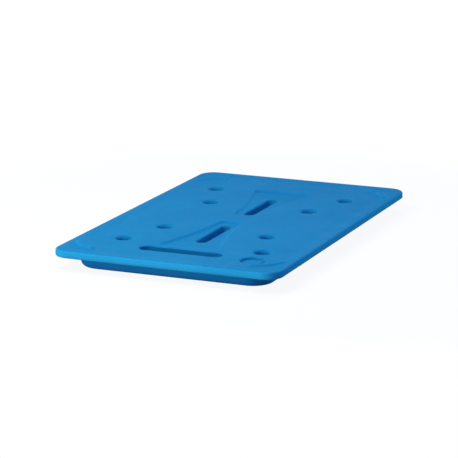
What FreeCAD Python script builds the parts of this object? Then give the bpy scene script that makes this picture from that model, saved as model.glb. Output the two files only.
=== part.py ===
"""Full-size freezer cold plate: a blow-moulded, gel-filled slab sealed in one piece.

A thin flange runs round a drafted tray-shaped body. The top face has a low raised border, two
bell-shaped recessed panels with a blind stiffening slot in each, eight bowl-shaped tack-offs, a
through hand slot at the front end, a round filler recess and four raised stacking lugs.

Frame: millimetres, X across the width, Y along the length with the hand slot at -Y, Z up.
The origin is the centre of the underside.
"""
import FreeCAD, Part
import math
import os

import Sketcher
from FreeCAD import Vector

os.makedirs("parts", exist_ok=True)
doc = FreeCAD.newDocument("cold_plate")

# Driving dimensions, in millimetres and degrees
SIZES = [
    ("plate_length", 530),
    ("plate_width", 325),
    ("plate_corner_radius", 24),
    ("flange_thickness", 10),
    ("flange_top_radius", 3),
    ("flange_under_bevel", 1.8),
    ("body_depth", 18.3),
    ("body_inset", 21),
    ("body_draft_run", 4.2),
    ("body_corner_radius", 34),
    ("body_edge_radius", 8),
    ("border_width", 8),
    ("border_slope_run", 9),
    ("border_height", 1),
    ("field_corner_radius", 16),
    ("hand_slot_from_side", 103.5),
    ("hand_slot_width", 22),
    ("hand_slot_from_front", 66),
    ("hand_slot_lip", 2.5),
    ("hand_slot_draft", 2),
    ("bell_narrow_end", 20.7),
    ("bell_to_hand_slot", 10.7),
    ("bell_narrow_width", 33.4),
    ("bell_wide_width", 86.7),
    ("bell_side_radius", 640),
    ("bell_corner_radius", 7),
    ("bell_depth", 2.6),
    ("bell_draft", 45),
    ("slot_from_narrow_end", 15.3),
    ("slot_from_wide_end", 40.3),
    ("slot_width", 15),
    ("slot_draft", 9),
    ("slot_lip", 2.6),
    ("tack_from_side", 61),
    ("tack_from_end", 103),
    ("tack_step_across", 25.5),
    ("tack_step_along", 81),
    ("tack_mouth", 21),
    ("tack_draft", 14),
    ("tack_lip", 4),
    ("web_thickness", 6),
    ("base_mark_depth", 1),
    ("base_mark_width", 14),
    ("port_from_side", 56),
    ("port_from_end", 57),
    ("port_diameter", 36),
    ("port_depth", 3.8),
    ("port_lip", 1.6),
    ("port_plug_diameter", 25),
    ("port_plug_height", 1.6),
    ("lug_centre_from_side", 59),
    ("lug_centre_from_end", 77),
    ("lug_radius", 46),
    ("lug_width", 10),
    ("lug_height", 2.1),
    ("lug_middle_angle", 228),
    ("lug_half_angle", 27),
    ("lug_draft", 40),
]
sheet = doc.addObject("Spreadsheet::Sheet", "sizes")
for row, (alias, value) in enumerate(SIZES, start=1):
    sheet.set(f"A{row}", alias)
    sheet.set(f"B{row}", str(value))
    sheet.setAlias(f"B{row}", alias)
doc.recompute()

# Levels that several features share
BASE = "0 * sizes.body_depth"
PARTING = "sizes.body_depth"
TOP = "sizes.body_depth + sizes.flange_thickness"
FIELD = f"{TOP} - sizes.border_height"
BELL_FLOOR = f"{FIELD} - sizes.bell_depth"
WEB_TOP = "sizes.web_thickness + sizes.base_mark_depth"

# Lengths and places that follow the plate's ends and sides, as distances from its middle
HAND_LENGTH = "(sizes.plate_width - 2 * sizes.hand_slot_from_side)"
HAND_ALONG = "sizes.plate_length / 2 - sizes.hand_slot_from_front"
BELL_WIDE_END = f"{HAND_ALONG} - sizes.hand_slot_width / 2 - sizes.bell_to_hand_slot"
SLOT_FAR = "sizes.bell_narrow_end + sizes.slot_from_narrow_end"
SLOT_LENGTH = f"({BELL_WIDE_END} - sizes.slot_from_wide_end - ({SLOT_FAR}))"
SLOT_CENTRE = f"({SLOT_FAR} + {SLOT_LENGTH} / 2)"
TACK_ACROSS = "sizes.plate_width / 2 - sizes.tack_from_side"
TACK_ALONG = "sizes.plate_length / 2 - sizes.tack_from_end"
PORT_ACROSS = "sizes.plate_width / 2 - sizes.port_from_side"
PORT_ALONG = "sizes.plate_length / 2 - sizes.port_from_end"
LUG_ACROSS = "sizes.plate_width / 2 - sizes.lug_centre_from_side"
LUG_ALONG = "sizes.plate_length / 2 - sizes.lug_centre_from_end"

body = doc.addObject("PartDesign::Body", "IcePack")
body.Label = "ice_pack"
PLANES = {plane.Role: plane for plane in body.Origin.OriginFeatures}


def number(expression):
    """The value that an expression of the sheet has now."""
    return float(sheet.evalExpression(expression))


def new_sketch(name, level):
    """An empty sketch parallel to the base, at a level of the sheet."""
    sketch = body.newObject("Sketcher::SketchObject", name)
    sketch.AttachmentSupport = (PLANES["XY_Plane"], "")
    sketch.MapMode = "FlatFace"
    sketch.setExpression("AttachmentOffset.Base.z", level)
    return sketch


def dimension(sketch, name, kind, places, expression):
    """A named dimension of the sketch that follows the sheet."""
    sketch.addConstraint(Sketcher.Constraint(kind, *places, number(expression)))
    sketch.renameConstraint(sketch.ConstraintCount - 1, name)
    sketch.setExpression(f"Constraints.{name}", expression)


def line(sketch, start, end):
    return sketch.addGeometry(Part.LineSegment(Vector(*start, 0), Vector(*end, 0)), False)


def arc(sketch, centre, radius, start, end):
    """An anticlockwise arc between two angles in degrees."""
    circle = Part.Circle(Vector(*centre, 0), Vector(0, 0, 1), radius)
    return sketch.addGeometry(Part.ArcOfCircle(circle, math.radians(start), math.radians(end)), False)


def join_tangent(sketch, pairs):
    for first, first_point, second, second_point in pairs:
        sketch.addConstraint(
            Sketcher.Constraint("Tangent", first, first_point, second, second_point))


def rounded_rectangle(name, level, width, length, radius):
    """A rounded rectangle centred on the origin."""
    sketch = new_sketch(name, level)
    half_x, half_y, r = number(width) / 2, number(length) / 2, number(radius)
    inner_x, inner_y = half_x - r, half_y - r
    front = line(sketch, (-inner_x, -half_y), (inner_x, -half_y))
    right = line(sketch, (half_x, -inner_y), (half_x, inner_y))
    back = line(sketch, (inner_x, half_y), (-inner_x, half_y))
    left = line(sketch, (-half_x, inner_y), (-half_x, -inner_y))
    front_right = arc(sketch, (inner_x, -inner_y), r, 270, 360)
    back_right = arc(sketch, (inner_x, inner_y), r, 0, 90)
    back_left = arc(sketch, (-inner_x, inner_y), r, 90, 180)
    front_left = arc(sketch, (-inner_x, -inner_y), r, 180, 270)
    loop = [front, front_right, right, back_right, back, back_left, left, front_left]
    join_tangent(sketch, [(a, 2, b, 1) for a, b in zip(loop, loop[1:] + loop[:1])])
    for side in (front, back):
        sketch.addConstraint(Sketcher.Constraint("Horizontal", side))
    for side in (right, left):
        sketch.addConstraint(Sketcher.Constraint("Vertical", side))
    for corner in (back_right, back_left, front_left):
        sketch.addConstraint(Sketcher.Constraint("Equal", front_right, corner))
    dimension(sketch, "corner", "Radius", (front_right,), radius)
    dimension(sketch, "to_right", "DistanceX", (-1, 1, right, 1), f"({width}) / 2")
    dimension(sketch, "to_left", "DistanceX", (left, 1, -1, 1), f"({width}) / 2")
    dimension(sketch, "to_back", "DistanceY", (-1, 1, back, 1), f"({length}) / 2")
    dimension(sketch, "to_front", "DistanceY", (front, 1, -1, 1), f"({length}) / 2")
    return sketch


def obround(name, level, length, width, toward_front, lengthwise):
    """A slot outline with round ends, centred on X = 0, some way in front of the origin."""
    sketch = new_sketch(name, level)
    r = number(width) / 2
    half = number(length) / 2 - r
    y = -number(toward_front)
    if lengthwise:
        near = arc(sketch, (0, y - half), r, 180, 360)
        far = arc(sketch, (0, y + half), r, 0, 180)
        first = line(sketch, (r, y - half), (r, y + half))
        second = line(sketch, (-r, y + half), (-r, y - half))
        sketch.addConstraint(Sketcher.Constraint("Vertical", first))
    else:
        near = arc(sketch, (-half, y), r, 90, 270)
        far = arc(sketch, (half, y), r, -90, 90)
        first = line(sketch, (-half, y - r), (half, y - r))
        second = line(sketch, (half, y + r), (-half, y + r))
        sketch.addConstraint(Sketcher.Constraint("Horizontal", first))
    loop = [near, first, far, second]
    join_tangent(sketch, [(a, 2, b, 1) for a, b in zip(loop, loop[1:] + loop[:1])])
    sketch.addConstraint(Sketcher.Constraint("Equal", near, far))
    dimension(sketch, "end", "Radius", (near,), f"({width}) / 2")
    reach = f"(({length}) - ({width})) / 2"
    if lengthwise:
        sketch.addConstraint(Sketcher.Constraint("PointOnObject", near, 3, -2))
        dimension(sketch, "near_end", "DistanceY", (near, 3, -1, 1), f"({toward_front}) + {reach}")
        dimension(sketch, "far_end", "DistanceY", (far, 3, -1, 1), f"({toward_front}) - {reach}")
    else:
        dimension(sketch, "left_end", "DistanceX", (near, 3, -1, 1), reach)
        dimension(sketch, "right_end", "DistanceX", (-1, 1, far, 3), reach)
        dimension(sketch, "from_middle", "DistanceY", (near, 3, -1, 1), toward_front)
    return sketch


def circles(name, level, spots, diameter, left=False):
    """Equal circles in front of the origin, at spots given as (name, across, toward the front)."""
    sketch = new_sketch(name, level)
    for spot, across, toward_front in spots:
        x = -number(across) if left else number(across)
        centre = Vector(x, -number(toward_front), 0)
        circle = sketch.addGeometry(Part.Circle(centre, Vector(0, 0, 1), number(diameter) / 2), False)
        ends = (circle, 3, -1, 1) if left else (-1, 1, circle, 3)
        dimension(sketch, f"{spot}_diameter", "Diameter", (circle,), diameter)
        dimension(sketch, f"{spot}_across", "DistanceX", ends, across)
        dimension(sketch, f"{spot}_along", "DistanceY", (circle, 3, -1, 1), toward_front)
    return sketch


def bell(name, level):
    """The front bell: a narrow end towards the middle, and sides that flare to the wide end."""
    sketch = new_sketch(name, level)
    r, side = number("sizes.bell_corner_radius"), number("sizes.bell_side_radius")
    near, far = -number(BELL_WIDE_END), -number("sizes.bell_narrow_end")
    wide = Vector(number("sizes.bell_wide_width") / 2 - r, near + r, 0)
    narrow = Vector(number("sizes.bell_narrow_width") / 2 - r, far - r, 0)
    chord = wide - narrow
    out = Vector(-chord.y, chord.x, 0).normalize()
    centre = (wide + narrow) / 2 + out * math.sqrt((side + r) ** 2 - chord.Length ** 2 / 4)
    to_wide = math.degrees(math.atan2(wide.y - centre.y, wide.x - centre.x)) % 360
    to_narrow = math.degrees(math.atan2(narrow.y - centre.y, narrow.x - centre.x)) % 360
    wide_end = line(sketch, (-wide.x, near), (wide.x, near))
    wide_right = arc(sketch, (wide.x, wide.y), r, 270, to_wide + 180)
    right = arc(sketch, (centre.x, centre.y), side, to_narrow, to_wide)
    narrow_right = arc(sketch, (narrow.x, narrow.y), r, to_narrow - 180, 90)
    narrow_end = line(sketch, (narrow.x, far), (-narrow.x, far))
    narrow_left = arc(sketch, (-narrow.x, narrow.y), r, 90, 360 - to_narrow)
    left = arc(sketch, (-centre.x, centre.y), side, 540 - to_wide, 540 - to_narrow)
    wide_left = arc(sketch, (-wide.x, wide.y), r, 360 - to_wide, 270)
    join_tangent(sketch, [(wide_end, 2, wide_right, 1), (wide_right, 2, right, 2),
                          (right, 1, narrow_right, 1), (narrow_right, 2, narrow_end, 1),
                          (narrow_end, 2, narrow_left, 1), (narrow_left, 2, left, 2),
                          (left, 1, wide_left, 1), (wide_left, 2, wide_end, 1)])
    for end in (wide_end, narrow_end):
        sketch.addConstraint(Sketcher.Constraint("Symmetric", end, 1, end, 2, -2))
    for corner in (narrow_right, narrow_left, wide_left):
        sketch.addConstraint(Sketcher.Constraint("Equal", wide_right, corner))
    sketch.addConstraint(Sketcher.Constraint("Equal", right, left))
    dimension(sketch, "corner", "Radius", (wide_right,), "sizes.bell_corner_radius")
    dimension(sketch, "side", "Radius", (right,), "sizes.bell_side_radius")
    dimension(sketch, "wide_end", "DistanceY", (wide_end, 1, -1, 1), BELL_WIDE_END)
    dimension(sketch, "narrow_end", "DistanceY", (narrow_end, 1, -1, 1), "sizes.bell_narrow_end")
    dimension(sketch, "wide_half", "DistanceX", (-1, 1, wide_right, 3),
              "sizes.bell_wide_width / 2 - sizes.bell_corner_radius")
    dimension(sketch, "narrow_half", "DistanceX", (-1, 1, narrow_right, 3),
              "sizes.bell_narrow_width / 2 - sizes.bell_corner_radius")
    return sketch


def lug_outline(name, level):
    """A slot bent round an arc whose hollow side faces the middle of the plate."""
    sketch = new_sketch(name, level)
    centre_x, centre_y = -number(LUG_ACROSS), -number(LUG_ALONG)
    r, half = number("sizes.lug_radius"), number("sizes.lug_width") / 2
    start = number("sizes.lug_middle_angle - sizes.lug_half_angle")
    end = number("sizes.lug_middle_angle + sizes.lug_half_angle")

    def on_path(angle):
        return (centre_x + r * math.cos(math.radians(angle)),
                centre_y + r * math.sin(math.radians(angle)))

    outer = arc(sketch, (centre_x, centre_y), r + half, start, end)
    end_cap = arc(sketch, on_path(end), half, end, end + 180)
    inner = arc(sketch, (centre_x, centre_y), r - half, start, end)
    start_cap = arc(sketch, on_path(start), half, start - 180, start)
    join_tangent(sketch, [(outer, 2, end_cap, 1), (end_cap, 2, inner, 2),
                          (inner, 1, start_cap, 1), (start_cap, 2, outer, 1)])
    sketch.addConstraint(Sketcher.Constraint("Coincident", outer, 3, inner, 3))
    dimension(sketch, "across", "DistanceX", (outer, 3, -1, 1), LUG_ACROSS)
    dimension(sketch, "along", "DistanceY", (outer, 3, -1, 1), LUG_ALONG)
    dimension(sketch, "outside", "Radius", (outer,), "sizes.lug_radius + sizes.lug_width / 2")
    dimension(sketch, "inside", "Radius", (inner,), "sizes.lug_radius - sizes.lug_width / 2")
    for point, cap, angle in (("start", start_cap, "sizes.lug_middle_angle - sizes.lug_half_angle"),
                              ("end", end_cap, "sizes.lug_middle_angle + sizes.lug_half_angle")):
        dimension(sketch, f"{point}_drop", "DistanceY", (cap, 3, outer, 3),
                  f"-sizes.lug_radius * sin(({angle}) * 1deg)")
    return sketch


def pad(name, sketch, length, taper=None):
    feature = body.newObject("PartDesign::Pad", name)
    feature.Profile = sketch
    feature.setExpression("Length", length)
    if taper:
        feature.setExpression("TaperAngle", taper)
    return feature


def pocket(name, sketch, length, taper=None, up=False):
    feature = body.newObject("PartDesign::Pocket", name)
    feature.Profile = sketch
    feature.Reversed = up
    feature.setExpression("Length", length)
    if taper:
        feature.setExpression("TaperAngle", taper)
    return feature


def loft(kind, name, first, second):
    feature = body.newObject(f"PartDesign::{kind}Loft", name)
    feature.Profile = first
    feature.Sections = [second]
    feature.Ruled = True
    return feature


def soften(kind, name, size, test):
    """A Fillet or a Chamfer on every edge of the body that passes the test."""
    doc.recompute()
    base = body.Tip
    edges = [f"Edge{i}" for i, edge in enumerate(base.Shape.Edges, start=1) if test(edge)]
    if not edges:
        raise RuntimeError(f"{name} found no edge")
    feature = body.newObject(f"PartDesign::{kind}", name)
    feature.Base = (base, edges)
    feature.setExpression("Radius" if kind == "Fillet" else "Size", size)
    doc.recompute()


def samples(edge):
    first, last = edge.ParameterRange
    return [edge.valueAt(first + (last - first) * step / 4) for step in range(5)]


def flat_at(level):
    """A test for edges that lie wholly at one level."""
    z = number(level)
    return lambda edge: all(abs(point.z - z) < 0.01 for point in samples(edge))


def around(level, across, along, reach_x, reach_y):
    """A test for edges at a level near a spot that may be mirrored into any quadrant."""
    at_level = flat_at(level)
    x, y, half_x, half_y = (number(text) for text in (across, along, reach_x, reach_y))

    def test(edge):
        return at_level(edge) and all(
            abs(abs(point.x) - x) < half_x + 0.01 and abs(abs(point.y) - y) < half_y + 0.01
            for point in samples(edge))

    return test


def either(*tests):
    return lambda edge: any(test(edge) for test in tests)


def mirror(name, originals, *roles):
    """Repeats features in each origin plane named, one after the other."""
    doc.recompute()
    group = body.newObject("PartDesign::MultiTransform", name)
    group.Originals = originals
    steps = []
    for role in roles:
        step = body.newObject("PartDesign::Mirrored", f"{name}{role[:2]}")
        step.MirrorPlane = (PLANES[role], [""])
        steps.append(step)
    group.Transformations = steps
    body.Tip = group
    doc.recompute()


# Drafted body below the flange
root = rounded_rectangle("BodyRoot", PARTING, "sizes.plate_width - 2 * sizes.body_inset",
                         "sizes.plate_length - 2 * sizes.body_inset", "sizes.body_corner_radius")
foot = rounded_rectangle("BodyFoot", BASE,
                         "sizes.plate_width - 2 * (sizes.body_inset + sizes.body_draft_run)",
                         "sizes.plate_length - 2 * (sizes.body_inset + sizes.body_draft_run)",
                         "sizes.body_corner_radius - sizes.body_draft_run")
loft("Additive", "TrayBody", root, foot)
soften("Fillet", "BodyEdge", "sizes.body_edge_radius", flat_at(BASE))

# Flange all round, with its two outer edges
flange = rounded_rectangle("FlangeOutline", PARTING, "sizes.plate_width", "sizes.plate_length",
                           "sizes.plate_corner_radius")
pad("Flange", flange, "sizes.flange_thickness")
soften("Fillet", "FlangeTopEdge", "sizes.flange_top_radius", flat_at(TOP))
at_root = around(PARTING, "0", "0", "sizes.plate_width / 2 - sizes.body_inset",
                 "sizes.plate_length / 2 - sizes.body_inset")
at_parting = flat_at(PARTING)
soften("Chamfer", "FlangeUnderEdge", "sizes.flange_under_bevel",
       lambda edge: at_parting(edge) and not at_root(edge))

# Low raised border: the field inside it is cut by a shallow sloped loft
border_rim = rounded_rectangle("BorderRim", TOP, "sizes.plate_width - 2 * sizes.border_width",
                               "sizes.plate_length - 2 * sizes.border_width",
                               "sizes.field_corner_radius + sizes.border_slope_run")
field_rim = rounded_rectangle("FieldRim", FIELD,
                              "sizes.plate_width - 2 * (sizes.border_width + sizes.border_slope_run)",
                              "sizes.plate_length - 2 * (sizes.border_width + sizes.border_slope_run)",
                              "sizes.field_corner_radius")
loft("Subtractive", "Field", border_rim, field_rim)

# Bell panels with sloped walls in both halves
bell_panel = pocket("BellPanel", bell("BellOutline", FIELD), "sizes.bell_depth",
                    "-sizes.bell_draft")
mirror("BellPanels", [bell_panel], "XZ_Plane")

# Blind stiffening slots in the bell floors, each with its mark under the base
slot_mouth = obround("SlotMouth", BELL_FLOOR, SLOT_LENGTH, "sizes.slot_width", SLOT_CENTRE,
                     lengthwise=True)
slot = pocket("StiffeningSlot", slot_mouth, f"{BELL_FLOOR} - ({WEB_TOP})", "-sizes.slot_draft")
slot_mark = obround("SlotMark", BASE,
                    f"{SLOT_LENGTH} - sizes.slot_width + sizes.base_mark_width",
                    "sizes.base_mark_width", SLOT_CENTRE, lengthwise=True)
slot_base = pocket("SlotBaseMark", slot_mark, "sizes.base_mark_depth", up=True)
mirror("StiffeningSlots", [slot, slot_base], "XZ_Plane")
slot_spot = ("0", SLOT_CENTRE, "sizes.slot_width / 2", f"{SLOT_LENGTH} / 2")
soften("Chamfer", "SlotLips", "sizes.slot_lip", around(BELL_FLOOR, *slot_spot))

# One quarter of the plate, repeated in the other three: a stacking lug and two tack-offs
lug = pad("Lug", lug_outline("LugOutline", FIELD), "sizes.lug_height", "-sizes.lug_draft")
TACKS = [("outer", TACK_ACROSS, TACK_ALONG),
         ("inner", f"{TACK_ACROSS} - sizes.tack_step_across", f"{TACK_ALONG} - sizes.tack_step_along")]
tack_mouths = circles("TackMouths", FIELD, TACKS, "sizes.tack_mouth", left=True)
tacks = pocket("TackOffs", tack_mouths, f"{FIELD} - ({WEB_TOP})", "-sizes.tack_draft")
tack_marks = circles("TackMarks", BASE, TACKS, "sizes.base_mark_width", left=True)
tack_bases = pocket("TackBaseMarks", tack_marks, "sizes.base_mark_depth", up=True)
mirror("Quarters", [lug, tacks, tack_bases], "YZ_Plane", "XZ_Plane")
soften("Chamfer", "TackLips", "sizes.tack_lip", either(
    *(around(FIELD, across, along, "sizes.tack_mouth / 2", "sizes.tack_mouth / 2")
      for _, across, along in TACKS)))

# Hand slot, drafted both ways from the parting level
hand_outline = (HAND_LENGTH, "sizes.hand_slot_width", HAND_ALONG)
hand_up = obround("HandSlotUpper", PARTING, *hand_outline, lengthwise=False)
pocket("HandSlotTop", hand_up, "sizes.flange_thickness", "sizes.hand_slot_draft", up=True)
hand_down = obround("HandSlotLower", PARTING, *hand_outline, lengthwise=False)
pocket("HandSlotBottom", hand_down, "sizes.body_depth", "sizes.hand_slot_draft")
widening = "sizes.body_depth * tan(sizes.hand_slot_draft * 1deg)"
hand_spot = ("0", HAND_ALONG, f"{HAND_LENGTH} / 2 + {widening}",
             f"sizes.hand_slot_width / 2 + {widening}")
soften("Chamfer", "HandSlotLips", "sizes.hand_slot_lip",
       either(around(FIELD, *hand_spot), around(BASE, *hand_spot)))

# Filler recess with the low welded plug on its floor
PORT = [("port", PORT_ACROSS, PORT_ALONG)]
PORT_FLOOR = f"{FIELD} - sizes.port_depth"
pocket("FillerRecess", circles("FillerMouth", FIELD, PORT, "sizes.port_diameter"),
       "sizes.port_depth")
soften("Chamfer", "FillerRim", "sizes.port_lip",
       around(FIELD, PORT_ACROSS, PORT_ALONG, "sizes.port_diameter / 2", "sizes.port_diameter / 2"))
pad("FillerPlug", circles("PlugOutline", PORT_FLOOR, PORT, "sizes.port_plug_diameter"),
    "sizes.port_plug_height")

# Checks and export
doc.recompute()
failed = [o.Name for o in doc.Objects if "Invalid" in o.State or "Error" in o.State]
if failed:
    raise RuntimeError(f"features failed: {failed}")
shape = body.Shape
if shape.isNull() or not shape.isValid() or len(shape.Solids) != 1:
    raise RuntimeError(f"{body.Label} is not one valid solid")
shape.exportStep(f"parts/{body.Label}.step")
box = shape.optimalBoundingBox(False, False)
print(f"{body.Label}: {box.XLength:.1f} x {box.YLength:.1f} x {box.ZLength:.1f} mm,",
      f"{shape.Volume / 1e6:.3f} litres")
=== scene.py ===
"""The looks of a full-size freezer cold plate: one moulded skin in blue polyethylene.

Lengths of the plate are in millimetres until its mesh is made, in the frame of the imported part:
X across, Y along with the hand slot at -Y, Z up, and the origin at the centre of the underside.
"""

import math

import bmesh
import bpy
import numpy as np
from mathutils import Matrix, Vector, kdtree
from mathutils.geometry import delaunay_2d_cdt


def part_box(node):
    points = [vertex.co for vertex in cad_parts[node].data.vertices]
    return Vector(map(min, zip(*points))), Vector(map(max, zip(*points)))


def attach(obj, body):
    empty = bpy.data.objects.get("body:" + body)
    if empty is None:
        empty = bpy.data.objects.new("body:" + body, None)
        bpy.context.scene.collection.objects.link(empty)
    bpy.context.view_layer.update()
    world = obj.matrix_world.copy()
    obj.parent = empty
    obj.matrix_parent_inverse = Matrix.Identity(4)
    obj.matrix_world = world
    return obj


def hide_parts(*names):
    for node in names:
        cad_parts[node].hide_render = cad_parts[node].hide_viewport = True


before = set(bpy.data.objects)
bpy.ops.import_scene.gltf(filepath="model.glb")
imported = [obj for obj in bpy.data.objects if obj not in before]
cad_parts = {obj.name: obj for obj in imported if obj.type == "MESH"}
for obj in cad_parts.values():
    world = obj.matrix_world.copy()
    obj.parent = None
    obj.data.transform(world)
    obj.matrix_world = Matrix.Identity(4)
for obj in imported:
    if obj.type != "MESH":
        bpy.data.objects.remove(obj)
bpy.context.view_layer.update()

MM = 0.001
NODE = "ice_pack"
lowest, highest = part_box(NODE)

# Whole plate, from the frame, and the levels of its rim, field, flange's underside and pits' floors
WIDTH = (highest.x - lowest.x) / MM
LENGTH = (highest.y - lowest.y) / MM
LUG_TOP = highest.z / MM
TOP = 28.3
FIELD = 27.3
PARTING = 18.3
WEB_TOP = 7

# Flange, whose edge has a fine parting line, and drafted body
PLATE_CORNER = 24
FLANGE_TOP_RADIUS = 3
FLANGE_UNDER_RADIUS = 2
SEAM_HEIGHT = 0.18
SEAM_HALF = 0.7
SEAM_LEVEL = 22.2
SEAM_SHARES = (1, 0.5, 0, -0.5, -1)
BODY_INSET = 21
BODY_DRAFT_RUN = 4.2
BODY_CORNER = 34
BODY_EDGE_RADIUS = 8
BODY_ROOT_RADIUS = 2.4

# Raised border
BORDER_WIDTH = 6
BORDER_SLOPE = 16
FIELD_CORNER = 16

# Slight unevenness of the field: heights of two waves, and their lengths and phases
SWAY_HEIGHTS = (0.10, 0.06)
LONG_WAVES = (31, 43)
SHORT_WAVES = (17, 23)
WAVE_PHASES = (0.8, -0.4, 2.1)

# Hand slot
HAND_LENGTH = 118
HAND_WIDTH = 22
HAND_FROM_FRONT = 66
HAND_LIP = 2.8
HAND_DRAFT = 3

# Bells, each with a stiffening slot. A wall is two offsets from its outline: outer and inner.
BELL_NARROW_END = 20.7
BELL_WIDE_END = 177.3
BELL_NARROW_WIDTH = 33.4
BELL_WIDE_WIDTH = 86.7
BELL_SIDE_RADIUS = 640
BELL_CORNER = 7
BELL_DEPTH = 2.6
BELL_WALL = (1.2, -3.8)
SLOT_CENTRE = 86.5
SLOT_LENGTH = 101
SLOT_WIDTH = 15
SLOT_DRAFT = 15
SLOT_LIP = 3.4
SLOT_FLOOR_RADIUS = 3.5

# Tack-offs, and the marks that they and the slots leave under the base
TACK_SPOTS = ((101.5, 162), (76, 81))
TACK_RADIUS = 10.4
TACK_DRAFT = 9
TACK_LIP = 6.5
TACK_FLOOR_RADIUS = 3.2
MARK_WIDTH = 14
MARK_DEPTH = 1
MARK_WALL = (0.8, -0.8)

# Filler recess and its welded plug
PORT_SPOT = (106.5, -208)
PORT_RADIUS = 18
PORT_DEPTH = 3.8
PORT_DRAFT = 32
PORT_LIP = 1.6
PORT_FLOOR_RADIUS = 1.2
PLUG_RADIUS = 12.5
PLUG_HEIGHT = 1.6
PLUG_WALL = (0.5, -0.7)

# Stacking lugs
LUG_CENTRE = (103.5, 188)
LUG_RADIUS = 46
LUG_HALF_WIDTH = 5
LUG_ANGLES = (21, 75)
LUG_WALL = (0.9, -3.3)

# Fineness of the mesh: steps along outlines, points round the rim, spacings of the flat areas,
# clearance of their inner points as a share of the fine one, rows of rounded edges and walls
ARC_STEP = 1.2
LINE_STEP = 3
SIDE_POINTS = (70, 120)
CORNER_POINTS = 26
COARSE = 4.4
FINE = 2.2
BASE_SPACING = 8.8
CLEARANCE = 0.6
WELD_WITHIN = 1e-7
TOP_EDGE_STEPS = 11
UNDER_EDGE_STEPS = 7
BODY_EDGE_STEPS = 12
DRAFT_SHARES = (0.25, 0.5, 0.75)
WALL_STEPS = 8

# Flat strips beside rounded edges: wells, rim, underside of the flange, and the fine mesh's margin
LANDING = 0.15
RIM_LANDING = 1.5
UNDER_LANDING = 8
FINE_MARGIN = 6

QUADRANTS = ((1, 1), (-1, 1), (1, -1), (-1, -1))

# Blue polyethylene. Noise scales are per metre, and bump depths are in metres.
BLUE_DEEP = (0.012, 0.256, 0.458, 1)
BLUE_PALE = (0.016, 0.277, 0.484, 1)
MOTTLE_SCALE = 14
SATIN_SCALE = 60
SATIN_ROUGHNESS = (0.42, 0.52)
SPECULAR_LEVEL = 0.004
GRAIN_SCALE = 1400
GRAIN_STRENGTH = 0.12
GRAIN_DEPTH = 0.0003
RIPPLE_SCALE = 70
RIPPLE_STRENGTH = 0.25
RIPPLE_DEPTH = 0.0006
NOISE_RANGE = (0.3, 0.7)

# Floor in metres: a table with a front edge, whose glow rises over a reach from the plate
FLOOR_HALF = 14
FLOOR_FRONT = -0.42
FLOOR_DROP = 0.0004
FLOOR_COLOUR = (0.1, 0.1, 0.1, 1)
FLOOR_GLOW = (0.92, 1)
GLOW_REACH = (0.45, 0.9)

SKY_LIGHT = (0.16, 0.18, 0.6, 1)
SEEN_SKY = (1, 1, 1, 1)

# Soft lamps: name, place, aim, size, power and colour, in metres and watts.
# The low front one lies under the floor's level and lights the flange past the floor's front edge.
LAMPS = (
    ("overhead", (-0.4, -0.46, 0.92), (0, -0.1, 0), (0.6, 0.6), 7.5, (0.92, 1, 0.85)),
    ("behind", (-0.2, 1.8, 1.6), (0, 0, 0), (0.9, 0.9), 11, (0.8, 1, 0.6)),
    ("front", (-1.2, -2.2, 0.1), (0, -0.1, 0.01), (1.2, 0.18), 30, (0.85, 0.73, 1)),
    ("low front", (-0.8, -2.0, -0.157), (0, -0.27, 0.023), (1.2, 0.1), 27, (1, 0.9, 0.6)),
    ("right", (1.8, 1.0, 0.16), (0.1, 0.1, 0.01), (0.6, 0.3), 15, (0.9, 1, 1)),
)

# Camera solved from the plate's outline in the photograph, which is 458 pixels square.
# Place in metres, angles in degrees, lens and sensor in millimetres.
CAMERA_PLACE = (1.1821, -2.8875, 0.7833)
CAMERA_DOWN = 13.885
CAMERA_TURN = 22.492
CAMERA_ROLL = 0.131
CAMERA_LENS = 179.47
SENSOR_WIDTH = 36


def along_arc(centre, radius, start, stop):
    """Points and outward normals from start to stop in degrees, without the last.

    Where stop is less than start the arc turns clockwise and its hollow side is outside.
    """
    count = max(4, math.ceil(math.radians(abs(stop - start)) * radius / ARC_STEP))
    angles = np.radians(np.linspace(start, stop, count, endpoint=False))
    out = np.stack([np.cos(angles), np.sin(angles)], 1)
    return np.hstack([np.array(centre) + radius * out, math.copysign(1, stop - start) * out])


def along_line(start, end):
    """Points and outward normals from start to end of an anticlockwise outline, without the last."""
    start, end = np.array(start, float), np.array(end, float)
    length = np.linalg.norm(end - start)
    count = max(1, math.ceil(length / LINE_STEP))
    share = np.linspace(0, 1, count, endpoint=False)[:, None]
    across = (end - start)[[1, 0]] * (1, -1) / length
    return np.hstack([start + share * (end - start), np.tile(across, (count, 1))])


def circle(centre, radius):
    return along_arc(centre, radius, 0, 360)


def slot(centre, length, width, lengthwise):
    """An outline with round ends."""
    r, half = width / 2, (length - width) / 2
    x, y = centre
    if lengthwise:
        return np.vstack([along_line((x + r, y - half), (x + r, y + half)),
                          along_arc((x, y + half), r, 0, 180),
                          along_line((x - r, y + half), (x - r, y - half)),
                          along_arc((x, y - half), r, 180, 360)])
    return np.vstack([along_line((x - half, y - r), (x + half, y - r)),
                      along_arc((x + half, y), r, -90, 90),
                      along_line((x + half, y + r), (x - half, y + r)),
                      along_arc((x - half, y), r, 90, 270)])


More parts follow.
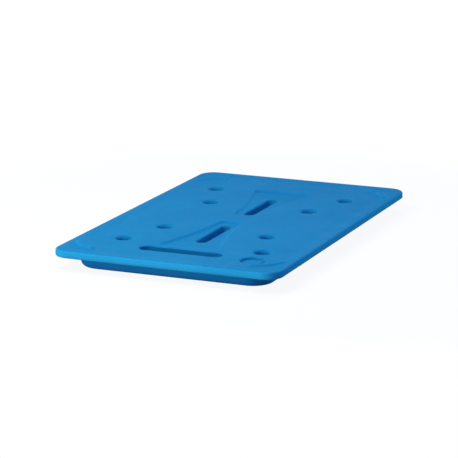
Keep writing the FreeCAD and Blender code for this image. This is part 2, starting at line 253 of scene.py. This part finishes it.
def bell():
    """The front bell, whose sides flare on a large arc to its wide end."""
    wide = np.array([BELL_WIDE_WIDTH / 2 - BELL_CORNER, BELL_CORNER - BELL_WIDE_END])
    narrow = np.array([BELL_NARROW_WIDTH / 2 - BELL_CORNER, -BELL_CORNER - BELL_NARROW_END])
    chord = wide - narrow
    length = np.linalg.norm(chord)
    out = chord[[1, 0]] * (-1, 1) / length
    rise = math.sqrt((BELL_SIDE_RADIUS + BELL_CORNER) ** 2 - length ** 2 / 4)
    centre = (wide + narrow) / 2 + out * rise
    to_wide, to_narrow = (math.degrees(math.atan2(*(end - centre)[::-1])) % 360
                          for end in (wide, narrow))
    flip = np.array([-1, 1])
    return np.vstack([
        along_line((-wide[0], -BELL_WIDE_END), (wide[0], -BELL_WIDE_END)),
        along_arc(wide, BELL_CORNER, 270, to_wide + 180),
        along_arc(centre, BELL_SIDE_RADIUS, to_wide, to_narrow),
        along_arc(narrow, BELL_CORNER, to_narrow - 180, 90),
        along_line((narrow[0], -BELL_NARROW_END), (-narrow[0], -BELL_NARROW_END)),
        along_arc(narrow * flip, BELL_CORNER, 90, 360 - to_narrow),
        along_arc(centre * flip, BELL_SIDE_RADIUS, 540 - to_narrow, 540 - to_wide),
        along_arc(wide * flip, BELL_CORNER, 360 - to_wide, 270)])


def crescent():
    """A lug in the first quadrant: a slot bent round an arc that is hollow towards the middle."""
    start, stop = LUG_ANGLES
    ends = [np.array(LUG_CENTRE) + LUG_RADIUS * np.array([math.cos(a), math.sin(a)])
            for a in np.radians(LUG_ANGLES)]
    return np.vstack([
        along_arc(LUG_CENTRE, LUG_RADIUS + LUG_HALF_WIDTH, start, stop),
        along_arc(ends[1], LUG_HALF_WIDTH, stop, stop + 180),
        along_arc(LUG_CENTRE, LUG_RADIUS - LUG_HALF_WIDTH, stop, start),
        along_arc(ends[0], LUG_HALF_WIDTH, start + 180, start + 360)])


def rounded_rectangle(inset, corner, base=0):
    """Places round the plate at an inset. Its count of points is the same for every inset."""
    half_x, half_y, r = WIDTH / 2 - base - inset, LENGTH / 2 - base - inset, corner - inset
    centres = [(half_x - r, r - half_y), (half_x - r, half_y - r),
               (r - half_x, half_y - r), (r - half_x, r - half_y)]
    rows = []
    for quarter, (centre, count) in enumerate(zip(centres, SIDE_POINTS[::-1] * 2)):
        angles = np.radians(90 * quarter - 90 + np.linspace(0, 90, CORNER_POINTS))
        turn = np.array(centre) + r * np.stack([np.cos(angles), np.sin(angles)], 1)
        after = np.array(centres[(quarter + 1) % 4]) + r * np.array(
            [math.cos(angles[-1]), math.sin(angles[-1])])
        share = np.linspace(0, 1, count + 1)[1:-1, None]
        rows += [turn, turn[-1] + share * (after - turn[-1])]
    return np.vstack(rows)


def ease(share):
    """An S-shaped step from 0 to 1."""
    share = np.clip(share, 0, 1)
    return share * share * (3 - 2 * share)


def field(places):
    """Height of the top face without its features: the border, its slope and the field inside."""
    corner = FIELD_CORNER + BORDER_SLOPE
    reach = np.abs(places) - (WIDTH / 2 - BORDER_WIDTH - corner, LENGTH / 2 - BORDER_WIDTH - corner)
    outside = np.linalg.norm(np.maximum(reach, 0), axis=1) + np.minimum(reach.max(axis=1), 0)
    height = TOP - (TOP - FIELD) * ease((corner - outside) / BORDER_SLOPE)
    return height + sway(places) * ease((corner - outside) / (2 * BORDER_SLOPE))


def sway(places):
    """The slight unevenness of a large blown panel."""
    x, y = places.T
    high, low = SWAY_HEIGHTS
    across, along = LONG_WAVES
    slant_x, slant_y = SHORT_WAVES
    first, second, third = WAVE_PHASES
    long_wave = high * np.sin(x / across + first) * np.cos(y / along + second)
    return long_wave + low * np.sin(x / slant_x - y / slant_y + third) - low


# A level below is a function that gives the height at each of some places on the plan


def flat(height):
    """A level with the same height everywhere."""
    return lambda places: np.full(len(places), float(height))


def shifted(level, rise):
    """A level moved up by a rise."""
    return lambda places: level(places) + rise


def between(low, high, share):
    """A level that is a share of the way from one to another."""
    return lambda places: low(places) * (1 - share) + high(places) * share


def step_rows(wall, start, end):
    """Rows of an S-shaped step whose wall runs from one offset to another."""
    shares = np.linspace(0, 1, WALL_STEPS + 1)
    outer, inner = wall
    return [(outer + (inner - outer) * share, between(start, end, ease(share)))
            for share in shares]


def well_rows(level, depth, draft, lip, floor):
    """Rows of a drafted well: a round lip, the wall, and a round corner down to its floor."""
    lean = math.radians(draft)
    tangent = math.tan(math.pi / 4 - lean / 2)
    rows = [(lip * tangent + LANDING, level)]
    for angle in np.linspace(0, math.pi / 2 - lean, WALL_STEPS):
        rows.append((lip * (tangent - math.sin(angle)), shifted(level, lip * (math.cos(angle) - 1))))
    top, bottom = -lip * tangent * math.cos(lean), floor * (1 - math.sin(lean)) - depth
    for share in DRAFT_SHARES:
        drop = top + (bottom - top) * share
        rows.append((drop * math.tan(lean), shifted(level, drop)))
    for angle in np.linspace(lean, math.pi / 2, WALL_STEPS):
        offset = floor * (math.cos(angle) - tangent) - depth * math.tan(lean)
        rows.append((offset, shifted(level, floor * (1 - math.sin(angle)) - depth)))
    return rows


class Skin:
    """Points and faces of the plate's skin, in millimetres."""

    def __init__(self):
        self.points = []
        self.faces = []

    def ring(self, places, level):
        """Adds a closed row of points at a level and returns their numbers."""
        first = len(self.points)
        self.points += [(x, y, z) for (x, y), z in zip(places, level(places))]
        return list(range(first, len(self.points)))

    def join(self, rings):
        """Four-sided faces between each ring and the next, which have as many points."""
        for one, other in zip(rings, rings[1:]):
            for i, j in zip(range(-1, len(one) - 1), range(len(one))):
                self.faces.append((one[i], one[j], other[j], other[i]))

    def sleeve(self, outline, rows):
        """Rings round an outline, each at the offset and level of its row. Returns the end ones."""
        rings = [self.ring(outline[:, :2] + offset * outline[:, 2:], level)
                 for offset, level in rows]
        self.join(rings)
        return rings[0], rings[-1]

    def fill(self, rim, holes, level, spacing=COARSE, is_fine=None):
        """Triangles over the area inside the rim and outside the holes."""
        loops = [rim, *holes]
        numbers = [number for loop in loops for number in loop]
        fixed = np.array([self.points[number][:2] for number in numbers])
        edges, start = [], 0
        for loop in loops:
            edges += [(start + i, start + (i + 1) % len(loop)) for i in range(len(loop))]
            start += len(loop)
        spare = lattice(fixed, spacing)
        if is_fine is not None:
            closer = lattice(fixed, FINE)
            spare = np.vstack([spare[~is_fine(spare)], closer[is_fine(closer)]])
        polygons = [np.array([self.points[number][:2] for number in loop]) for loop in loops]
        spare = spare[inside(spare, polygons)]
        tree = kdtree.KDTree(len(fixed))
        for i, (x, y) in enumerate(fixed):
            tree.insert((x, y, 0), i)
        tree.balance()
        clear = [tree.find((x, y, 0))[2] > CLEARANCE * FINE for x, y in spare]
        spare = spare[np.array(clear, bool)]
        numbers += self.ring(spare, level)
        places = np.vstack([fixed, spare])
        _, _, triangles, sources, _, _ = delaunay_2d_cdt(
            [Vector(place) for place in places], edges, [], 0, WELD_WITHIN)
        corners = np.array([[sources[corner][0] for corner in face] for face in triangles])
        kept = inside(places[corners].mean(axis=1), polygons)
        self.faces += [tuple(numbers[corner] for corner in face) for face in corners[kept]]


def lattice(around, spacing):
    """A staggered lattice of places over the box of some points."""
    (x0, y0), (x1, y1) = around.min(axis=0), around.max(axis=0)
    rows = np.arange(y0, y1, spacing * math.sqrt(3) / 2)
    columns = np.arange(x0, x1, spacing)
    x, y = np.meshgrid(columns, rows)
    x[1::2] += spacing / 2
    return np.stack([x.ravel(), y.ravel()], 1)


def inside(places, polygons):
    """Whether each place is inside an odd number of the polygons."""
    odd = np.zeros(len(places), bool)
    x, y = places[:, :1], places[:, 1:]
    for polygon in polygons:
        following = np.roll(polygon, -1, axis=0)
        (x0, y0), (x1, y1) = polygon.T, following.T
        crosses = (y0 > y) != (y1 > y)
        with np.errstate(divide="ignore", invalid="ignore"):
            ahead = x < x0 + (y - y0) * (x1 - x0) / (y1 - y0)
        odd ^= (crosses & ahead).sum(axis=1) % 2 == 1
    return odd


def edge_rings(skin):
    """The rim of the plate from its border down to its base. Returns the end rings."""
    rings = []

    def plate(inset, height):
        rings.append(skin.ring(rounded_rectangle(inset, PLATE_CORNER), flat(height)))

    def body(inset, height):
        rings.append(skin.ring(rounded_rectangle(inset, BODY_CORNER, BODY_INSET), flat(height)))

    side = SEAM_HEIGHT
    plate(side + FLANGE_TOP_RADIUS + RIM_LANDING, TOP)
    for angle in np.radians(np.linspace(90, 0, TOP_EDGE_STEPS)):
        plate(side + FLANGE_TOP_RADIUS * (1 - math.cos(angle)),
              TOP - FLANGE_TOP_RADIUS * (1 - math.sin(angle)))
    for share in SEAM_SHARES:
        plate(side * abs(share), SEAM_LEVEL + SEAM_HALF * share)
    for angle in np.radians(np.linspace(0, 90, UNDER_EDGE_STEPS)):
        plate(side + FLANGE_UNDER_RADIUS * (1 - math.cos(angle)),
              PARTING + FLANGE_UNDER_RADIUS * (1 - math.sin(angle)))
    lean = math.atan2(BODY_DRAFT_RUN, PARTING)
    tangent = math.tan(math.pi / 4 - lean / 2)
    body(-BODY_ROOT_RADIUS * tangent - UNDER_LANDING, PARTING)
    for angle in np.linspace(math.pi / 2, lean, UNDER_EDGE_STEPS):
        body(BODY_ROOT_RADIUS * (math.cos(angle) - tangent),
             PARTING - BODY_ROOT_RADIUS * (1 - math.sin(angle)))
    wall_foot = BODY_EDGE_RADIUS * (1 - math.sin(lean))
    wall_head = PARTING - BODY_ROOT_RADIUS
    for share in DRAFT_SHARES:
        height = wall_head + (wall_foot - wall_head) * share
        body((PARTING - height) * math.tan(lean), height)
    for angle in np.linspace(lean, math.pi / 2, BODY_EDGE_STEPS):
        body(BODY_DRAFT_RUN + BODY_EDGE_RADIUS * (tangent - math.cos(angle)),
             BODY_EDGE_RADIUS * (1 - math.sin(angle)))
    body(BODY_DRAFT_RUN + BODY_EDGE_RADIUS * tangent + RIM_LANDING, 0)
    skin.join(rings)
    return rings[0], rings[-1]


def hand_slot(skin):
    """The through slot, drafted both ways from the parting level, with its pinched seam."""
    y = HAND_FROM_FRONT - LENGTH / 2
    outline = slot((0, y), HAND_LENGTH, HAND_WIDTH, lengthwise=False)
    lean = math.radians(HAND_DRAFT)
    tangent = math.tan(math.pi / 4 - lean / 2)
    upper, lower = (FIELD - PARTING) * math.tan(lean), PARTING * math.tan(lean)
    rows = [(upper + HAND_LIP * tangent + LANDING, field)]
    for angle in np.linspace(0, math.pi / 2 - lean, WALL_STEPS + 2):
        rows.append((upper + HAND_LIP * (tangent - math.sin(angle)),
                     shifted(field, HAND_LIP * (math.cos(angle) - 1))))
    for share in SEAM_SHARES:
        rows.append((SEAM_HALF * abs(share) * math.tan(lean) - SEAM_HEIGHT * (1 - abs(share)),
                     flat(PARTING + SEAM_HALF * share)))
    for angle in np.linspace(math.pi / 2 - lean, 0, WALL_STEPS):
        rows.append((lower + HAND_LIP * (tangent - math.sin(angle)),
                     flat(HAND_LIP * (1 - math.cos(angle)))))
    rows.append((lower + HAND_LIP * tangent + LANDING, flat(0)))
    return skin.sleeve(outline, rows)


def bells(skin):
    """Both bell panels, with the stiffening slot in each floor. Returns their outer rings."""
    floor = shifted(field, -BELL_DEPTH)
    mouths = []
    for side in (1, -1):
        mirror = (1, side, 1, side)
        mouth, foot = skin.sleeve(bell() * mirror, step_rows(BELL_WALL, field, floor))
        well = slot((0, -SLOT_CENTRE), SLOT_LENGTH, SLOT_WIDTH, lengthwise=True) * mirror
        rows = well_rows(floor, FIELD - BELL_DEPTH - WEB_TOP, SLOT_DRAFT, SLOT_LIP,
                         SLOT_FLOOR_RADIUS)
        lip, web = skin.sleeve(well, rows)
        skin.fill(foot, [lip], floor)
        skin.fill(web, [], shifted(floor, WEB_TOP + BELL_DEPTH - FIELD))
        mouths.append(mouth)
    return mouths


def tack_offs(skin):
    """The eight bowl-shaped wells. Returns their outer rings."""
    mouths = []
    depth = FIELD - WEB_TOP
    for spot in TACK_SPOTS:
        for quadrant in QUADRANTS:
            outline = circle(np.array(spot) * quadrant, TACK_RADIUS)
            rows = well_rows(field, depth, TACK_DRAFT, TACK_LIP, TACK_FLOOR_RADIUS)
            mouth, web = skin.sleeve(outline, rows)
            skin.fill(web, [], shifted(field, -depth))
            mouths.append(mouth)
    return mouths


def filler(skin):
    """The round filler recess and the low plug on its floor. Returns its outer ring."""
    floor, plug = shifted(field, -PORT_DEPTH), shifted(field, PLUG_HEIGHT - PORT_DEPTH)
    mouth, foot = skin.sleeve(circle(PORT_SPOT, PORT_RADIUS),
                              well_rows(field, PORT_DEPTH, PORT_DRAFT, PORT_LIP, PORT_FLOOR_RADIUS))
    root, top = skin.sleeve(circle(PORT_SPOT, PLUG_RADIUS), step_rows(PLUG_WALL, floor, plug))
    skin.fill(foot, [root], floor, FINE)
    skin.fill(top, [], plug, FINE)
    return mouth


def lugs(skin):
    """The four crescent lugs that the next plate stacks on. Returns their outer rings."""
    feet = []
    for across, along in QUADRANTS:
        outline = crescent() * (across, along, across, along)
        foot, top = skin.sleeve(outline, step_rows(LUG_WALL, field, flat(LUG_TOP)))
        skin.fill(top, [], flat(LUG_TOP), FINE)
        feet.append(foot)
    return feet


def base_marks(skin):
    """Shallow marks where the tack-offs and slots meet the base. Returns their outer rings."""
    outlines = [circle(np.array(spot) * quadrant, MARK_WIDTH / 2)
                for spot in TACK_SPOTS for quadrant in QUADRANTS]
    outlines += [slot((0, side * SLOT_CENTRE), SLOT_LENGTH - SLOT_WIDTH + MARK_WIDTH,
                      MARK_WIDTH, lengthwise=True) for side in (1, -1)]
    rims = []
    for outline in outlines:
        rim, web = skin.sleeve(outline, step_rows(MARK_WALL, flat(0), flat(MARK_DEPTH)))
        skin.fill(web, [], flat(MARK_DEPTH))
        rims.append(rim)
    return rims


def near_border(places):
    """Whether a place is on the border or its slope, where the mesh is finer."""
    reach = (WIDTH / 2, LENGTH / 2) - np.abs(places)
    return reach.min(axis=1) < BORDER_WIDTH + BORDER_SLOPE + FINE_MARGIN


def make_plate(material):
    """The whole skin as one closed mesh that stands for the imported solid."""
    skin = Skin()
    border, base = edge_rings(skin)
    hand_top, hand_base = hand_slot(skin)
    skin.fill(border, [hand_top, filler(skin), *bells(skin), *tack_offs(skin), *lugs(skin)],
              field, COARSE, near_border)
    skin.fill(base, [hand_base, *base_marks(skin)], flat(0), BASE_SPACING)
    mesh = bpy.data.meshes.new("cold_plate_skin")
    mesh.from_pydata([Vector(point) * MM for point in skin.points], [], skin.faces)
    work = bmesh.new()
    work.from_mesh(mesh)
    bmesh.ops.recalc_face_normals(work, faces=work.faces)
    work.to_mesh(mesh)
    work.free()
    mesh.shade_smooth()
    mesh.materials.append(material)
    plate = bpy.data.objects.new("cold_plate_skin", mesh)
    bpy.context.scene.collection.objects.link(plate)
    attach(plate, "root")
    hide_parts(NODE)
    return plate


def new_material(name):
    """A material with an empty tree and its output node."""
    material = bpy.data.materials.new(name)
    material.use_nodes = True
    tree = material.node_tree
    tree.nodes.clear()
    return material, tree, tree.nodes.new("ShaderNodeOutputMaterial")


def noise(tree, scale, detail):
    """A noise texture in the plate's own metres."""
    place = tree.nodes.new("ShaderNodeTexCoord")
    texture = tree.nodes.new("ShaderNodeTexNoise")
    texture.inputs["Scale"].default_value = scale
    texture.inputs["Detail"].default_value = detail
    tree.links.new(place.outputs["Object"], texture.inputs["Vector"])
    return texture.outputs["Fac"]


def ramp(tree, source, low, high):
    """Maps a noise to a range of numbers."""
    node = tree.nodes.new("ShaderNodeMapRange")
    node.inputs["From Min"].default_value, node.inputs["From Max"].default_value = NOISE_RANGE
    node.inputs["To Min"].default_value = low
    node.inputs["To Max"].default_value = high
    tree.links.new(source, node.inputs["Value"])
    return node.outputs["Result"]


def bump(tree, height, strength, depth):
    """A bump node of a height."""
    node = tree.nodes.new("ShaderNodeBump")
    node.inputs["Strength"].default_value = strength
    node.inputs["Distance"].default_value = depth
    tree.links.new(height, node.inputs["Height"])
    return node


def polyethylene():
    """Blue blow-moulded polyethylene: satin, slightly mottled, with a fine grain."""
    material, tree, output = new_material("blue_polyethylene")
    shader = tree.nodes.new("ShaderNodeBsdfPrincipled")
    tree.links.new(shader.outputs["BSDF"], output.inputs["Surface"])
    mottle = tree.nodes.new("ShaderNodeMix")
    mottle.data_type = "RGBA"
    mottle.inputs["A"].default_value = BLUE_DEEP
    mottle.inputs["B"].default_value = BLUE_PALE
    tree.links.new(ramp(tree, noise(tree, MOTTLE_SCALE, 3), 0, 1), mottle.inputs["Factor"])
    tree.links.new(mottle.outputs["Result"], shader.inputs["Base Color"])
    satin = ramp(tree, noise(tree, SATIN_SCALE, 4), *SATIN_ROUGHNESS)
    tree.links.new(satin, shader.inputs["Roughness"])
    shader.inputs["Specular IOR Level"].default_value = SPECULAR_LEVEL
    grain = bump(tree, noise(tree, GRAIN_SCALE, 2), GRAIN_STRENGTH, GRAIN_DEPTH)
    ripple = bump(tree, noise(tree, RIPPLE_SCALE, 3), RIPPLE_STRENGTH, RIPPLE_DEPTH)
    tree.links.new(grain.outputs["Normal"], ripple.inputs["Normal"])
    tree.links.new(ripple.outputs["Normal"], shader.inputs["Normal"])
    return material


def seen_directly(tree):
    """1 for camera, glossy and transmission rays, else 0."""
    path = tree.nodes.new("ShaderNodeLightPath")
    total = path.outputs["Is Camera Ray"]
    for name in ("Is Glossy Ray", "Is Transmission Ray"):
        either = tree.nodes.new("ShaderNodeMath")
        either.operation = "MAXIMUM"
        tree.links.new(total, either.inputs[0])
        tree.links.new(path.outputs[name], either.inputs[1])
        total = either.outputs["Value"]
    return total


def make_floor():
    """A plain pale floor that keeps the plate's soft shadow."""
    material, tree, output = new_material("pale_floor")
    paper = tree.nodes.new("ShaderNodeBsdfDiffuse")
    paper.inputs["Color"].default_value = FLOOR_COLOUR
    glow = tree.nodes.new("ShaderNodeEmission")
    place = tree.nodes.new("ShaderNodeTexCoord")
    reach = tree.nodes.new("ShaderNodeVectorMath")
    reach.operation = "LENGTH"
    tree.links.new(place.outputs["Object"], reach.inputs[0])
    share = tree.nodes.new("ShaderNodeMapRange")
    share.interpolation_type = "SMOOTHSTEP"
    for name, number in zip(("From Min", "From Max", "To Min", "To Max"), GLOW_REACH + FLOOR_GLOW):
        share.inputs[name].default_value = number
    tree.links.new(reach.outputs["Value"], share.inputs["Value"])
    level = tree.nodes.new("ShaderNodeMath")
    level.operation = "MULTIPLY"
    tree.links.new(share.outputs["Result"], level.inputs[0])
    tree.links.new(seen_directly(tree), level.inputs[1])
    tree.links.new(level.outputs["Value"], glow.inputs["Strength"])
    both = tree.nodes.new("ShaderNodeAddShader")
    tree.links.new(paper.outputs["BSDF"], both.inputs[0])
    tree.links.new(glow.outputs["Emission"], both.inputs[1])
    tree.links.new(both.outputs["Shader"], output.inputs["Surface"])
    mesh = bpy.data.meshes.new("floor")
    corners = [(-FLOOR_HALF, FLOOR_FRONT, 0), (FLOOR_HALF, FLOOR_FRONT, 0),
               (FLOOR_HALF, FLOOR_HALF, 0), (-FLOOR_HALF, FLOOR_HALF, 0)]
    mesh.from_pydata(corners, [], [(0, 1, 2, 3)])
    mesh.materials.append(material)
    floor = bpy.data.objects.new("floor", mesh)
    floor.location.z = -FLOOR_DROP
    bpy.context.scene.collection.objects.link(floor)


def make_world():
    """A cool soft light from all round, seen as plain white."""
    world = bpy.data.worlds.new("studio")
    bpy.context.scene.world = world
    world.use_nodes = True
    tree = world.node_tree
    sky = tree.nodes["Background"]
    colour = tree.nodes.new("ShaderNodeMix")
    colour.data_type = "RGBA"
    colour.inputs["A"].default_value = SKY_LIGHT
    colour.inputs["B"].default_value = SEEN_SKY
    tree.links.new(seen_directly(tree), colour.inputs["Factor"])
    tree.links.new(colour.outputs["Result"], sky.inputs["Color"])


def make_lamps():
    """The soft rectangular lamps."""
    for name, place, aim, (width, height), power, colour in LAMPS:
        data = bpy.data.lights.new(name, "AREA")
        data.shape = "RECTANGLE"
        data.size, data.size_y = width, height
        data.energy = power
        data.color = colour
        lamp = bpy.data.objects.new(name, data)
        lamp.location = place
        lamp.rotation_euler = (Vector(aim) - Vector(place)).to_track_quat("-Z", "Y").to_euler()
        bpy.context.scene.collection.objects.link(lamp)


def make_camera():
    """The camera at the photograph's viewing angle."""
    data = bpy.data.cameras.new("camera")
    data.sensor_width = SENSOR_WIDTH
    data.lens = CAMERA_LENS
    camera = bpy.data.objects.new("camera", data)
    camera.location = CAMERA_PLACE
    turn, tip, roll = (Matrix.Rotation(math.radians(angle), 3, axis) for angle, axis in (
        (CAMERA_TURN, "Z"), (90 - CAMERA_DOWN, "X"), (CAMERA_ROLL, "Z")))
    camera.rotation_euler = (turn @ tip @ roll).to_euler()
    bpy.context.scene.collection.objects.link(camera)
    bpy.context.scene.camera = camera


make_camera()
make_plate(polyethylene())
make_floor()
make_world()
make_lamps()
bpy.context.scene.view_settings.view_transform = "Standard"
